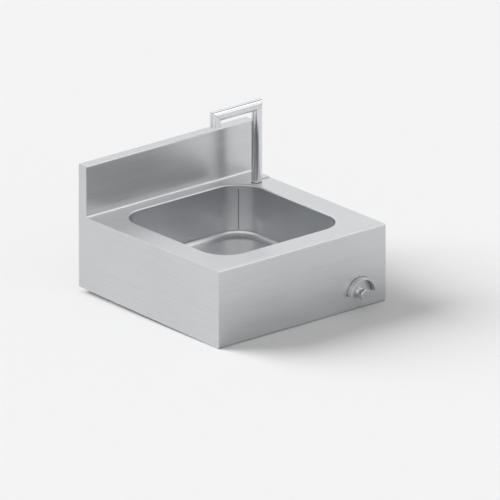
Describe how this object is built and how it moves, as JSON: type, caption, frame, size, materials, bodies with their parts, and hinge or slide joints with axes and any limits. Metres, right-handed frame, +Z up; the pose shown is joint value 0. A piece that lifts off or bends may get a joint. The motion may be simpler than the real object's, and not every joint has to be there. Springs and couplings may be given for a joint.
{
  "type": "knee-operated sink",
  "caption": "Wall-hung square hand-wash sink of folded steel sheet with a low upstand, a swivel spout and a guarded push button for the knee.",
  "frame": {"origin": "on the wall plane, midway between the two screw holes of the hanging rail", "axes": "+X to the user's right, +Y into the wall, +Z up"},
  "size_m": [0.4, 0.416, 0.31],
  "materials": {
    "sheet_steel": "satin, fine brushed grain",
    "rail_steel": "galvanised",
    "chrome": "polished",
    "brass": "machined",
    "copper": "drawn copper tube",
    "rubber": "moulded",
    "plastic": "moulded",
    "spring_steel": "drawn"
  },
  "bodies": {
    "sink": {"deck_panel": "sheet_steel", "backsplash": "sheet_steel", "front_panel": "sheet_steel", "left_side_panel": "sheet_steel", "right_side_panel": "sheet_steel", "bowl": "sheet_steel", "knee_guard": "sheet_steel", "tap_corner_plate": "sheet_steel", "rear_brace": "sheet_steel", "wall_rail": "rail_steel", "backing_washer": "rail_steel", "waste_flange": "chrome", "waste_grid": "chrome", "grid_screw": "chrome", "bezel_nut": "chrome", "valve_body": "brass", "rear_cap": "brass", "outlet_nut": "brass", "outlet_olive": "brass", "tail_nut": "brass", "tail_olive": "brass", "swivel_shank": "brass", "shank_locknut": "brass", "waste_backnut": "brass", "supply_tube": "copper", "waste_top_seal": "rubber", "waste_bottom_seal": "rubber", "panel_gasket": "rubber", "stem_seal": "rubber", "shank_orings": "rubber", "deck_seal": "rubber", "rear_cap_seal": "rubber", "thrust_washer": "plastic", "return_spring": "spring_steel", "inlet_filter": "spring_steel"},
    "knee_button": {"push_button": "chrome", "plunger_stem": "spring_steel", "valve_poppet": "brass", "poppet_seal": "rubber"},
    "spout": {"spout_riser": "chrome", "spout_arm": "chrome", "spout_outlet": "chrome", "aerator_housing": "chrome", "aerator_screen": "plastic", "riser_set_screw": "chrome"}
  },
  "joints": [
    {"name": "knee_button_press", "type": "slide", "parent": "sink", "child": "knee_button", "axis": [0, 1, 0], "range_m": [0, 0.007], "stiffness_N_per_m": 1500, "springref_m": -0.005, "deforming": ["return_spring"]},
    {"name": "spout_swivel", "type": "hinge", "parent": "sink", "child": "spout", "pos_m": [0.166, -0.073, 0], "axis": [0, 0, 1], "range_deg": [-30, 90]}
  ]
}
